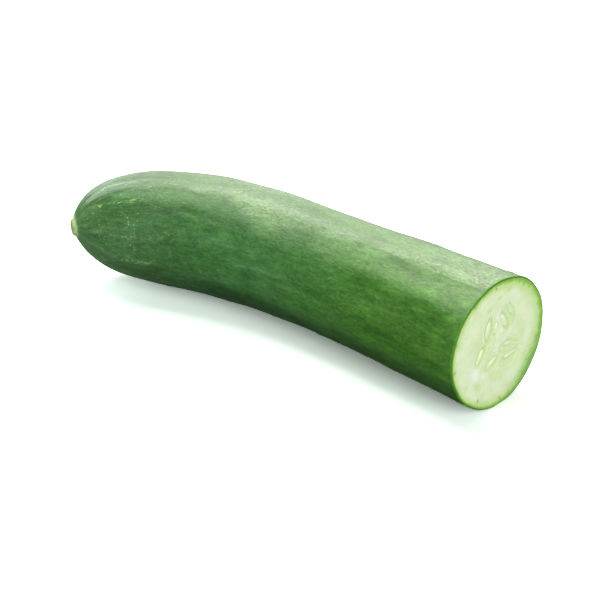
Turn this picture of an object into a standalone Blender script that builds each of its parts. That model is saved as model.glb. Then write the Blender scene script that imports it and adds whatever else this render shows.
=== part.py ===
# The long cut length of a cucumber: cut square at one end, whole at the blossom end.
# It lies on its side and bends in plan. +X runs from the blossom end to the cut,
# +Z is up, and the origin is on the surface it lies on, under the middle of its box.
# Lengths are in metres and angles in degrees.
#
# The body is turned straight first, standing on its cut face with its axis along +Z.
# There its seeds and the bumps of its skin are joined to it. Then one formula gives
# every point the lobed section, the ribs and hollows, the pockets in the flesh and
# the bend, and a level cut makes the narrow flat that it rests on.

import math

import bmesh
import bpy
import numpy as np

# Driving dimensions of the body
BODY_LENGTH = 0.1865  # along the bent axis, from the cut to the skin at the blossom end
BODY_RADIUS = 0.0240
RIM_FLARE = 0.00060  # how much wider the body is at the cut
RIM_FLARE_REACH = 0.08  # as a share of the length
WAIST_DEPTH = 0.00084
WAIST_AT = 0.39
WAIST_REACH = 0.157
CAP_START = 0.344  # where the body begins to close towards the blossom end
CAP_POWER = 6.86  # the higher, the blunter the end

# Section, seen from the cut: angle 0 is level across and 90 is up
OVAL = 0.0238  # two lobes, as a share of the radius
OVAL_AT = -34.9
TRIANGLE = 0.0129  # three lobes, one for each chamber of seeds
TRIANGLE_AT = 39.7

# Relief of the skin, as shares of the radius
RIBS = 9
RIB_HEIGHT = 0.004
RIB_HEIGHT_AT_TIP = 0.016
RIB_AT = -22.0  # the first rib, at the cut
RIB_TURN = 20.0  # how far a rib winds round between the two ends
HOLLOW_DEPTH = 0.007
HOLLOW_PITCH = 0.047  # along the body
PLAIN_FROM, PLAIN_TO = 0.80, 0.96  # how far down the relief fades, towards the underside

# Bend, seen from above
BEND = 63.1  # how far the axis turns between the cut and the blossom end
BEND_POWER = 3.09  # the higher, the closer to the blossom end it turns
LIFT_START = 0.62  # up to here, as a share of the length, the underside lies level
LIFT_POWER = 2.25
TIP_HEIGHT = 0.0256  # of the blossom end's axis above the surface
CUT_LEAN_ACROSS = -1.89  # the cut isn't quite square to the axis
CUT_LEAN_UP = 2.76
CUT_LEAN_REACH = 0.018
FLAT_DEPTH = 0.0004  # how much of the underside is pressed flat

# Blossom end: the skin rises to a low point, which the scar sits on
POINT_HEIGHT = 0.0013
POINT_REACH = 0.0042
SCAR_RADIUS = 0.0023
SCAR_HEIGHT = 0.0008
SCAR_DIMPLE = 0.0005
SCAR_FOOT = 1.3  # where the skin meets the scar, as a share of its radius

# Seeds in the cut face: place across, place up, direction, half length, half width.
# The last two lie deeper in their chambers.
SEEDS = (
    (0.0025, 0.0082, -63, 0.0037, 0.00135),
    (-0.0057, 0.0076, -100, 0.0036, 0.00140),
    (-0.0018, 0.0070, -107, 0.0024, 0.00075),
    (-0.0099, -0.0012, -124, 0.0034, 0.00110),
    (-0.0038, -0.0063, -156, 0.0034, 0.00125),
    (0.0066, -0.0066, -177, 0.0037, 0.00115),
    (0.0064, 0.0108, -58, 0.0030, 0.00115),
    (0.0056, -0.0022, -18, 0.0032, 0.00120),
)
SEED_HALF_THICKNESS = 0.0008
SEED_SINK = 0.0002  # from the plane of the cut down to a seed's middle
POCKET_DEPTH = 0.00035
POCKET_REACH = 1.7  # a pocket's size, in sizes of its seed

# Bumps of the skin, in rows along the ribs
BUMP_STEP = 0.027  # along a row
BUMP_JITTER = 0.35  # of a step
BUMP_HALF_SIZE = (0.0009, 0.0010, 0.0013)  # outwards, round the body and along it
BUMP_SINK = 0.00050
BUMP_SPREAD = 0.25  # how much the bumps differ in size
BUMP_SEED = 7
BUMP_LOWEST = -55  # no bump lies lower round the body than this angle
BUMP_FROM, BUMP_TO = 0.010, 0.172

# Fineness of the mesh
AROUND = 72
RINGS = 38
RING_CROWDING = 1.35  # above 1, the rings stand closer near the blossom end
FACE_RINGS = 8
RIM_EASE = 0.0003
FINE_STEPS = 2000
SEED_SIDES, SEED_RINGS = 12, 6
BUMP_SIDES, BUMP_RINGS = 8, 4

# Colour, roughness
SKIN = ((0.085, 0.185, 0.050), 0.42)
FLESH = ((0.660, 0.780, 0.480), 0.35)
SEED = ((0.800, 0.830, 0.580), 0.40)
SKIN_SLOT, FLESH_SLOT, SEED_SLOT = range(3)


def clear_scene():
    for obj in list(bpy.data.objects):
        bpy.data.objects.remove(obj, do_unlink=True)


def new_collection(name):
    collection = bpy.data.collections.new(name)
    bpy.context.scene.collection.children.link(collection)
    return collection


def new_material(name, colour, roughness):
    material = bpy.data.materials.new(name)
    material.use_nodes = True
    shader = material.node_tree.nodes["Principled BSDF"]
    shader.inputs["Base Color"].default_value = (*colour, 1)
    shader.inputs["Roughness"].default_value = roughness
    shader.inputs["Metallic"].default_value = 0
    material.diffuse_color = (*colour, 1)
    return material


def smooth_step(low, high, value):
    """0 below low, 1 above high, and an even curve between."""
    t = np.clip((value - low) / (high - low), 0, 1)
    return t * t * (3 - 2 * t)


def body_width(share):
    """The radius before the blossom end closes, at a share of the way from the cut."""
    flare = RIM_FLARE * np.exp(-share / RIM_FLARE_REACH)
    waist = WAIST_DEPTH * np.exp(-(((share - WAIST_AT) / WAIST_REACH) ** 2))
    return BODY_RADIUS + flare - waist


def body_radius(share):
    cap = np.clip((share - CAP_START) / (1 - CAP_START), 0, 1)
    return body_width(share) * np.sqrt(1 - cap**CAP_POWER)


def profile():
    """(radius, height) points: over the scar, down the skin, and in across the cut."""
    share = np.linspace(1, RIM_EASE / BODY_LENGTH, FINE_STEPS)
    radius = body_radius(share)
    height = share * BODY_LENGTH + POINT_HEIGHT * np.exp(-((radius / POINT_REACH) ** 2))
    outside = radius > SCAR_FOOT * SCAR_RADIUS
    radius, height = radius[outside], height[outside]
    run = np.concatenate([[0], np.cumsum(np.hypot(np.diff(radius), np.diff(height)))])
    stops = run[-1] * (np.arange(RINGS + 1) / RINGS) ** RING_CROWDING
    skin = zip(np.interp(stops, run, radius), np.interp(stops, run, height))
    scar = [
        (0, height[0] + SCAR_HEIGHT - SCAR_DIMPLE),
        (0.45 * SCAR_RADIUS, height[0] + SCAR_HEIGHT - 0.6 * SCAR_DIMPLE),
        (0.80 * SCAR_RADIUS, height[0] + SCAR_HEIGHT),
        (SCAR_RADIUS, height[0] + 0.6 * SCAR_HEIGHT),
    ]
    face = [(r, 0) for r in np.linspace(radius[-1] - RIM_EASE, 0, FACE_RINGS + 1)]
    return scar + list(skin) + face


def realised(obj):
    """The object's mesh with its modifiers applied, and the modifiers removed."""
    graph = bpy.context.evaluated_depsgraph_get()
    mesh = bpy.data.meshes.new_from_object(obj.evaluated_get(graph))
    obj.modifiers.clear()
    obj.data = mesh
    return mesh


def turned_body(collection):
    points = [(float(radius), 0, float(height)) for radius, height in profile()]
    mesh = bpy.data.meshes.new("cucumber")
    mesh.from_pydata(points, [(i, i + 1) for i in range(len(points) - 1)], [])
    body = bpy.data.objects.new("cucumber", mesh)
    collection.objects.link(body)
    screw = body.modifiers.new("Turn", "SCREW")
    screw.axis = "Z"
    screw.angle = math.tau
    screw.steps = screw.render_steps = AROUND
    screw.use_merge_vertices = True
    screw.merge_threshold = 1e-5
    realised(body)
    return body


def new_lump(name, collection, sides, rings, half_sizes, place, turn):
    """An oval lump with its sizes and place in its mesh, turned about the body's axis."""
    shape = bmesh.new()
    bmesh.ops.create_uvsphere(shape, u_segments=sides, v_segments=rings, radius=1)
    bmesh.ops.scale(shape, vec=half_sizes, verts=shape.verts)
    mesh = bpy.data.meshes.new(name)
    shape.to_mesh(mesh)
    shape.free()
    lump = bpy.data.objects.new(name, mesh)
    lump.location = place
    lump.rotation_euler = (0, 0, turn)
    collection.objects.link(lump)


def add_seeds(collection):
    """Seeds lying in the cut. Straight, the body has up along X and across along Y."""
    for number, (across, up, direction, length, width) in enumerate(SEEDS, 1):
        new_lump(
            f"seed_{number}",
            collection,
            SEED_SIDES,
            SEED_RINGS,
            (length, width, SEED_HALF_THICKNESS),
            (up, across, SEED_SINK),
            math.radians(90 - direction),
        )


def add_bumps(collection):
    """Bumps in a row along each rib, every second row half a step further on."""
    random = np.random.default_rng(BUMP_SEED)
    for row in range(RIBS):
        along = BUMP_FROM + (row % 2) * BUMP_STEP / 2
        while along < BUMP_TO:
            place = along + random.uniform(-1, 1) * BUMP_JITTER * BUMP_STEP / 2
            size = 1 + random.uniform(-1, 1) * BUMP_SPREAD
            along += BUMP_STEP
            angle = rib_angle(row, place)
            if math.sin(angle) < math.sin(math.radians(BUMP_LOWEST)):
                continue
            radius = float(body_radius(place / BODY_LENGTH)) - BUMP_SINK
            new_lump(
                f"bump_{row}_{round(along / BUMP_STEP)}",
                collection,
                BUMP_SIDES,
                BUMP_RINGS,
                [half * size for half in BUMP_HALF_SIZE],
                (radius * math.sin(angle), radius * math.cos(angle), place),
                math.pi / 2 - angle,
            )


def rib_angle(row, along):
    """Angle round the section, in radians, of a rib's crest at a place along the body."""
    return math.radians(RIB_AT + 360 / RIBS * row + RIB_TURN * along / BODY_LENGTH)


def join(body, collection):
    """One union of the body with everything in the collection, which is then removed."""
    union = body.modifiers.new("Join", "BOOLEAN")
    union.operation = "UNION"
    union.operand_type = "COLLECTION"
    union.collection = collection
    realised(body)
    for obj in list(collection.objects):
        bpy.data.objects.remove(obj, do_unlink=True)
    bpy.data.collections.remove(collection)


def seed_distance(across, up, seed):
    """How far a point of the cut is from a seed's middle, in sizes of the seed."""
    middle_across, middle_up, direction, length, width = seed
    turn = math.radians(direction)
    forward = (across - middle_across) * math.cos(turn) + (up - middle_up) * math.sin(turn)
    aside = (up - middle_up) * math.cos(turn) - (across - middle_across) * math.sin(turn)
    return np.hypot(forward / length, aside / (width + length) * 2)


def paint(mesh):
    """Flesh on the cut, seeds on what stands out of it, and skin elsewhere."""
    for name, look in (("cucumber_skin", SKIN), ("cucumber_flesh", FLESH), ("cucumber_seed", SEED)):
        mesh.materials.append(new_material(name, *look))
    for face in mesh.polygons:
        up, across, along = face.center
        if along > RIM_EASE / 2:
            face.material_index = SKIN_SLOT
        elif along > -RIM_EASE / 10:
            face.material_index = FLESH_SLOT
        else:
            face.material_index = SEED_SLOT


def axis_curve():
    """Heading, and place in plan, of the axis at even steps from the cut to the blossom end.

    The heading is the angle from -X. It starts so that the two ends lie level along X.
    """
    share = np.linspace(0, 1, FINE_STEPS)
    step = BODY_LENGTH / (FINE_STEPS - 1)

    def walk(heading):
        ways = np.stack([-np.cos(heading), np.sin(heading)])
        middles = (ways[:, 1:] + ways[:, :-1]) / 2
        return np.concatenate([np.zeros((2, 1)), np.cumsum(middles * step, axis=1)], axis=1)

    heading = -math.radians(BEND) * share**BEND_POWER
    end = walk(heading)[:, -1]
    heading = heading - math.atan2(end[1], -end[0])
    return share * BODY_LENGTH, heading, *walk(heading)


def section_shape(angle, along, share):
    """What the lobes, ribs and hollows multiply a point's distance from the axis by."""
    lobes = OVAL * np.cos(2 * (angle - math.radians(OVAL_AT)))
    lobes += TRIANGLE * np.cos(3 * (angle - math.radians(TRIANGLE_AT)))
    rib_height = RIB_HEIGHT + (RIB_HEIGHT_AT_TIP - RIB_HEIGHT) * smooth_step(0.72, 0.93, share)
    crest = math.radians(RIB_AT) + math.radians(RIB_TURN) * share
    ribs = rib_height * np.cos(RIBS * (angle - crest))
    wave = math.tau * along / HOLLOW_PITCH
    hollows = np.sin(wave + 2 * angle) * np.cos(3 * angle + 0.6 * wave) * HOLLOW_DEPTH
    hollows *= smooth_step(0, 0.12, share)
    plain = smooth_step(PLAIN_FROM, PLAIN_TO, -np.sin(angle))
    return 1 + lobes + (ribs + hollows) * (1 - plain)


def grown(straight):
    """Straight points, as up, across and along, to their places on the grown body."""
    up, across, along = straight.T
    share = np.clip(along / BODY_LENGTH, 0, 1)
    on_cut = along < RIM_EASE / 2
    nearest = np.min([seed_distance(across, up, seed) for seed in SEEDS], axis=0)
    along = along + on_cut * POCKET_DEPTH * np.exp(-((nearest / POCKET_REACH) ** 2))
    shape = section_shape(np.arctan2(up, across), along, share)
    across, up = across * shape, up * shape
    lean = across * math.tan(math.radians(CUT_LEAN_ACROSS))
    lean += up * math.tan(math.radians(CUT_LEAN_UP))
    along = along + lean * np.exp(-np.clip(along, 0, None) / CUT_LEAN_REACH)

    stops, headings, xs, ys = axis_curve()
    held = np.clip(along, 0, BODY_LENGTH)
    heading = np.interp(held, stops, headings)
    x = np.interp(held, stops, xs) - (along - held) * np.cos(heading) + across * np.sin(heading)
    y = np.interp(held, stops, ys) + (along - held) * np.sin(heading) + across * np.cos(heading)
    lift = np.clip((share - LIFT_START) / (1 - LIFT_START), 0, 1) ** LIFT_POWER
    bottom = 1 - OVAL * math.cos(math.radians(2 * OVAL_AT))
    bottom += TRIANGLE * math.cos(math.radians(3 * (90 + TRIANGLE_AT)))
    z = up + body_width(share) * bottom * (1 - lift) + TIP_HEIGHT * lift
    return np.stack([x, y, z], axis=1)


def grow(mesh):
    """Moves every point to its grown place, and the origin under the middle of the box."""
    flat = np.empty(len(mesh.vertices) * 3)
    mesh.vertices.foreach_get("co", flat)
    points = grown(flat.reshape(-1, 3))
    low, high = points.min(axis=0), points.max(axis=0)
    points -= [(low[0] + high[0]) / 2, (low[1] + high[1]) / 2, low[2] + FLAT_DEPTH]
    mesh.vertices.foreach_set("co", points.ravel())
    mesh.update()


def press_flat(body, collection):
    """Cuts the underside level at the surface that the body lies on."""
    slab = bpy.data.meshes.new("surface_cutter")
    shape = bmesh.new()
    bmesh.ops.create_cube(shape, size=1)
    bmesh.ops.scale(shape, vec=(0.4, 0.2, 0.02), verts=shape.verts)
    bmesh.ops.translate(shape, vec=(0, 0, -0.01), verts=shape.verts)
    shape.to_mesh(slab)
    shape.free()
    cutter = bpy.data.objects.new("surface_cutter", slab)
    cutter.hide_render = True
    cutter.display_type = "WIRE"
    collection.objects.link(cutter)
    cut = body.modifiers.new("Flat underside", "BOOLEAN")
    cut.operation = "DIFFERENCE"
    cut.object = cutter


def build():
    clear_scene()
    parts = new_collection("cucumber")
    cutters = new_collection("cutters")
    repeats = new_collection("repeats")
    body = turned_body(parts)
    add_seeds(repeats)
    add_bumps(repeats)
    join(body, repeats)
    paint(body.data)
    grow(body.data)
    body.data.shade_smooth()
    body.data.set_sharp_from_angle(angle=math.radians(45))
    press_flat(body, cutters)


build()
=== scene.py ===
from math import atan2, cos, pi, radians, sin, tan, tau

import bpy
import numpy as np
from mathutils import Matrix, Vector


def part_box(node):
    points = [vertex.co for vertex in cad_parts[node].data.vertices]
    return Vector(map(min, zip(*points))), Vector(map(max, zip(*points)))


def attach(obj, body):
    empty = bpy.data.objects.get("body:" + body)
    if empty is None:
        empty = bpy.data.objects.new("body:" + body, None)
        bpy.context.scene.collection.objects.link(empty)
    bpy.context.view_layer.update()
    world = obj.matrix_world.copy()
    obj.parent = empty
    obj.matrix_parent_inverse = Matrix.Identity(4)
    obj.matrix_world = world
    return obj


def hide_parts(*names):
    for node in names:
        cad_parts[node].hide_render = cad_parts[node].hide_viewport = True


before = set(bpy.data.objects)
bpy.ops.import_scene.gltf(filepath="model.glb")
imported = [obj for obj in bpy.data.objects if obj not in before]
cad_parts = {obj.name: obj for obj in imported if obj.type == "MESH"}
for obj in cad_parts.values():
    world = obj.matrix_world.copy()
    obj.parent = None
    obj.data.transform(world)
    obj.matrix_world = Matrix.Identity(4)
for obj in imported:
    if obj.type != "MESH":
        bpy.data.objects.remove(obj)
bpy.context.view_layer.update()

# The long cut length of a cucumber: waxy green skin, a fresh cut with its seeds, and the scar
# of the blossom. Every surface is a numpy grid bent by the same formulas as the CAD body.
# Straight, the body has across, up and along, with along 0 at the cut. Lengths are in metres,
# angles in degrees from across to up, and a share is along over the body's length.
# A span is a pair of values between which something rises; from high to low, it falls. Three
# numbers are an amount and its span, or an amount, its middle and its reach.

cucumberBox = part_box("cucumber")

bodyShape = {
    "length": 0.1865,
    "radius": 0.024,
    "rimFlare": 0.0006, "rimFlareReach": 0.08,  # wider at the cut
    "waist": (0.00084, 0.39, 0.157),  # depth, and the shares of its middle and reach
    "capStart": 0.344, "capPower": 6.86,  # how the blossom end closes
    "oval": 0.0238, "ovalAt": -34.9,  # two lobes of the section
    "triangle": 0.0129, "triangleAt": 39.7,  # three lobes, one for each seed chamber
    "ribs": 9, "ribHeight": 0.004, "ribRise": (0.012, 0.72, 0.93), "ribAt": -22.0, "ribTurn": 20.0,
    "hollowDepth": (0.007, 0, 0.12), "hollowPitch": 0.047, "hollowSlant": 0.6,
    "plain": (0.8, 0.96),  # the relief fades towards the underside
    "bend": 63.1, "bendPower": 3.09,
    "liftStart": 0.62, "liftPower": 2.25, "tipHeight": 0.0256,
    "leanAcross": -1.89, "leanUp": 2.76, "leanReach": 0.018,
    "flatDepth": 0.0004,
    "pointHeight": 0.0009, "pointReach": 0.005,  # the low point at the blossom end
    "scarRadius": 0.003, "scarFoot": 1.3,
    "rimEase": 0.0003,
}


def ease(low, high, value):
    # 0 at low, 1 at high, and an even curve 3t^2 - 2t^3 between
    t = np.clip((value - low) / (high - low), 0, 1)
    return t * t * (3 - 2 * t)


def bell(value, middle, reach):
    # 1 at the middle, falling away as exp of minus the squared distance in reaches
    return np.exp(-(((value - middle) / reach) ** 2))


def rising(value, amount, low, high):
    # amount times the even curve
    return amount * ease(low, high, value)


def swelling(value, amount, middle, reach):
    # amount times the bell
    return amount * bell(value, middle, reach)


def angleBetween(angle, other):
    # the shorter way round, from -pi to pi
    return np.angle(np.exp(1j * (angle - other)))


def bodyWidth(share):
    # radius before the end closes: flare at the cut, waist in the middle
    b = bodyShape
    flare = b["rimFlare"] * np.exp(-share / b["rimFlareReach"])
    return b["radius"] + flare - swelling(share, *b["waist"])


def bodyRadius(share):
    # width times the root of 1 - cap^power, so that the end closes bluntly
    b = bodyShape
    cap = np.clip((share - b["capStart"]) / (1 - b["capStart"]), 0, 1)
    return bodyWidth(share) * np.sqrt(1 - cap ** b["capPower"])


def plainUnder(angle):
    # 1 on the underside, where the skin's relief is gone
    return ease(*bodyShape["plain"], -np.sin(angle))


def sectionShape(angle, along, share):
    # factor on the radius: 1 + oval + three lobes + (ribs + hollows), the last two not underneath
    b = bodyShape
    lobes = b["oval"] * np.cos(2 * (angle - radians(b["ovalAt"])))
    lobes = lobes + b["triangle"] * np.cos(3 * (angle - radians(b["triangleAt"])))
    crest = radians(b["ribAt"]) + radians(b["ribTurn"]) * share
    ribs = (b["ribHeight"] + rising(share, *b["ribRise"])) * np.cos(b["ribs"] * (angle - crest))
    wave = tau * along / b["hollowPitch"]
    hollows = np.sin(wave + 2 * angle) * np.cos(3 * angle + b["hollowSlant"] * wave)
    hollows = hollows * rising(share, *b["hollowDepth"])
    return 1 + lobes + (ribs + hollows) * (1 - plainUnder(angle))


def axisPath(steps=2000):
    # heading = start - bend * share^power, walked in even steps; the start levels the two ends
    b = bodyShape
    share = np.linspace(0, 1, steps)
    step = b["length"] / (steps - 1)

    def walk(heading):
        ways = np.stack([-np.cos(heading), np.sin(heading)])
        middles = (ways[:, 1:] + ways[:, :-1]) / 2
        return np.concatenate([np.zeros((2, 1)), np.cumsum(middles * step, axis=1)], axis=1)

    heading = -radians(b["bend"]) * share ** b["bendPower"]
    end = walk(heading)[:, -1]
    heading = heading - atan2(end[1], -end[0])
    return share * b["length"], heading, *walk(heading)


pathStops, pathHeadings, pathXs, pathYs = axisPath()


def bent(across, up, along):
    # section factor, lean of the cut, then the bend and the lift of the blossom end
    b = bodyShape
    share = np.clip(along / b["length"], 0, 1)
    shape = sectionShape(np.arctan2(up, across), along, share)
    across, up = across * shape, up * shape
    lean = across * tan(radians(b["leanAcross"])) + up * tan(radians(b["leanUp"]))
    along = along + lean * np.exp(-np.clip(along, 0, None) / b["leanReach"])
    held = np.clip(along, 0, b["length"])
    heading = np.interp(held, pathStops, pathHeadings)
    x = np.interp(held, pathStops, pathXs) - (along - held) * np.cos(heading) + across * np.sin(heading)
    y = np.interp(held, pathStops, pathYs) + (along - held) * np.sin(heading) + across * np.cos(heading)
    lift = np.clip((share - b["liftStart"]) / (1 - b["liftStart"]), 0, 1) ** b["liftPower"]
    bottom = 1 - b["oval"] * cos(radians(2 * b["ovalAt"]))
    bottom += b["triangle"] * cos(radians(3 * (90 + b["triangleAt"])))
    z = up + bodyWidth(share) * bottom * (1 - lift) + b["tipHeight"] * lift - b["flatDepth"]
    return np.stack([x, y, z], axis=-1)


def onAxis(along):
    # the axis' own point, taken a hair above it so that it has an angle
    return bent(np.zeros(1), np.full(1, 1e-9), np.full(1, along))


def softNoise(turns, share, cellsAround, cellsAlong, seed):
    # random heights from -1 to 1 on a net that closes round the body, joined by even curves
    heights = np.random.default_rng(seed).uniform(-1, 1, (cellsAround, cellsAlong + 2))
    x, y = turns * cellsAround, np.clip(share, 0, 1) * cellsAlong
    i, j = np.floor(x).astype(int), np.floor(y).astype(int)
    a, b = ease(0, 1, x - i), ease(0, 1, y - j)

    def at(di, dj):
        return heights[(i + di) % cellsAround, j + dj]

    return (at(0, 0) * (1 - a) + at(1, 0) * a) * (1 - b) + (at(0, 1) * (1 - a) + at(1, 1) * a) * b


def ringGrid(values, around, turn):
    # a grid of angles, evenly round each ring through a turn, and one of each ring's value
    angle = np.linspace(0, turn, around, endpoint=False)[None] + 0 * values[:, None]
    return angle, values[:, None] + 0 * angle


def ringNormals(rings):
    # cross product of the steps round and along each point of a closed grid; outward where the
    # rings are walked like the faces that ringMesh makes
    around = np.roll(rings, -1, axis=1) - np.roll(rings, 1, axis=1)
    along = np.gradient(rings, axis=0)
    normals = np.cross(around, along)
    return normals / np.linalg.norm(normals, axis=-1, keepdims=True)


def newObject(name, data):
    made = bpy.data.objects.new(name, data)
    bpy.context.scene.collection.objects.link(made)
    return made


def ringMesh(name, rings, attributes, firstPole=None, lastPole=None):
    # quads between closed rings of points, and a fan of triangles to each pole that is given
    ringCount, around = rings.shape[:2]
    here = np.arange(ringCount - 1)[:, None] * around + np.arange(around)[None]
    beside = np.arange(ringCount - 1)[:, None] * around + (np.arange(around) + 1)[None] % around
    quads = np.stack([here, beside, beside + around, here + around], axis=-1).reshape(-1, 4)
    points, faces = rings.reshape(-1, 3).tolist(), quads.tolist()
    ends = []
    first = np.arange(around)
    last = (ringCount - 1) * around + first
    for pole, ring, way in ((lastPole, last, -1), (firstPole, np.roll(first, -1), 1)):
        if pole is not None:
            faces += np.stack([ring, np.roll(ring, way), np.full(around, len(points))], axis=-1).tolist()
            points.append(list(pole))
            ends.append(ring)
    mesh = bpy.data.meshes.new(name)
    mesh.from_pydata(points, [], faces)
    for label, values in attributes.items():
        size = values.shape[-1] if values.ndim == 3 else 1
        flat = values.reshape(-1, size)
        flat = np.concatenate([flat] + [flat[end].mean(axis=0, keepdims=True) for end in ends])
        kind, field = ("FLOAT_VECTOR", "vector") if size == 3 else ("FLOAT", "value")
        layer = mesh.attributes.new(label, kind, "POINT")
        layer.data.foreach_set(field, flat.astype(np.float32).ravel())
    mesh.shade_smooth()
    return newObject(name, mesh)


def toPlace(points):
    # moved so that the body's box lies over the CAD node's, and pressed level at the surface
    placed = points + bodyPlace
    placed[..., 2] = np.maximum(placed[..., 2], 0)
    return placed


# Node helpers

bumpDistance = 0.0003


def addNode(tree, kind, inputs=None, **settings):
    # a node with its settings, and its sockets set to values or linked from other sockets
    node = tree.nodes.new("ShaderNode" + kind)
    for name, value in settings.items():
        setattr(node, name, value)
    for name, value in (inputs or {}).items():
        socket = node.inputs[name]
        if isinstance(value, bpy.types.NodeSocket):
            tree.links.new(value, socket)
        else:
            socket.default_value = value
    return node


def mathNode(tree, operation, first, second=0.0, third=0.0):
    node = addNode(tree, "Math", {0: first, 1: second, 2: third}, operation=operation)
    return node.outputs[0]


def times(tree, *values):
    result = values[0]
    for value in values[1:]:
        result = mathNode(tree, "MULTIPLY", result, value)
    return result


def drawnOut(tree, vector, factor):
    # a vector with its length along the body times a factor, which draws a pattern out
    node = addNode(tree, "VectorMath", {0: vector, 1: (1, 1, factor)}, operation="MULTIPLY")
    return node.outputs[0]


def scaled(tree, colour, factor):
    node = addNode(tree, "VectorMath", {0: colour, "Scale": factor}, operation="SCALE")
    return node.outputs[0]


def mixed(tree, factor, first, second, blend="MIX"):
    # colour mix; colours may be sockets or rgb triples
    def colour(value):
        return value if isinstance(value, bpy.types.NodeSocket) else (*value, 1)

    sockets = {0: factor, 6: colour(first), 7: colour(second)}
    node = addNode(tree, "Mix", sockets, data_type="RGBA", blend_type=blend)
    return node.outputs[2]


def laid(tree, ground, colour, *masks):
    # a colour laid over the ground by the product of its masks
    return mixed(tree, times(tree, *masks), ground, colour)


def tinted(tree, ground, tint, mask):
    # the ground times a tint, by a mask
    return mixed(tree, mask, ground, mixed(tree, 1.0, ground, tint, "MULTIPLY"))


def ranged(tree, value, low, high, outLow=0.0, outHigh=1.0):
    # value from low..high to outLow..outHigh, clamped, on an even curve
    node = addNode(tree, "MapRange", {
        "Value": value, "From Min": low, "From Max": high, "To Min": outLow, "To Max": outHigh,
    }, interpolation_type="SMOOTHSTEP")
    return node.outputs["Result"]


def attribute(tree, name, output="Fac"):
    return addNode(tree, "Attribute", attribute_name=name).outputs[output]


def objectPlace(tree):
    return addNode(tree, "TexCoord").outputs["Object"]


def noise(tree, vector, scale, detail=3.0, roughness=0.55, distortion=0.0):
    node = addNode(tree, "TexNoise", {
        "Vector": vector, "Scale": scale, "Detail": detail, "Roughness": roughness, "Distortion": distortion,
    })
    return node.outputs["Fac"]


def newMaterial(name, look):
    material = bpy.data.materials.new(name)
    material.use_nodes = True
    tree = material.node_tree
    shader = tree.nodes["Principled BSDF"]
    shader.inputs["Roughness"].default_value = look["roughness"]
    shader.inputs["Specular IOR Level"].default_value = look["specular"]
    return material, tree, shader


def raised(tree, shader, height, strength):
    # fine relief through the shader's normal
    bump = addNode(tree, "Bump", {"Height": height, "Strength": strength, "Distance": bumpDistance})
    tree.links.new(bump.outputs["Normal"], shader.inputs["Normal"])


def fineGrain():
    # group: speckle and patches that all the materials share, as a factor on the colour and a height
    patchScale, patchShare, middle = 0.16, 0.5, 0.75
    group = bpy.data.node_groups.new("fineGrain", "ShaderNodeTree")
    for name, kind in (("Place", "Vector"), ("Scale", "Float"), ("Contrast", "Float")):
        group.interface.new_socket(name, in_out="INPUT", socket_type="NodeSocket" + kind)
    for name in ("Shade", "Height"):
        group.interface.new_socket(name, in_out="OUTPUT", socket_type="NodeSocketFloat")
    given, made = group.nodes.new("NodeGroupInput").outputs, group.nodes.new("NodeGroupOutput").inputs
    speckle = noise(group, given["Place"], given["Scale"], 2.0, 0.7)
    patches = noise(group, given["Place"], times(group, given["Scale"], patchScale), 2.0, 0.5)
    both = mathNode(group, "MULTIPLY_ADD", patches, patchShare, speckle)
    fromMiddle = mathNode(group, "SUBTRACT", both, middle)
    shade = mathNode(group, "MULTIPLY_ADD", fromMiddle, given["Contrast"], 1.0)
    group.links.new(shade, made["Shade"])
    group.links.new(speckle, made["Height"])
    return group


def grained(tree, shader, colour, place, look):
    # the shader's colour with the shared grain on it; gives the grain's height
    sockets = {"Place": place, "Scale": look["grainScale"], "Contrast": look["grainContrast"]}
    node = addNode(tree, "Group", sockets, node_tree=grainGroup)
    tree.links.new(scaled(tree, colour, node.outputs["Shade"]), shader.inputs["Base Color"])
    return node.outputs["Height"]


# Skin

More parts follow.
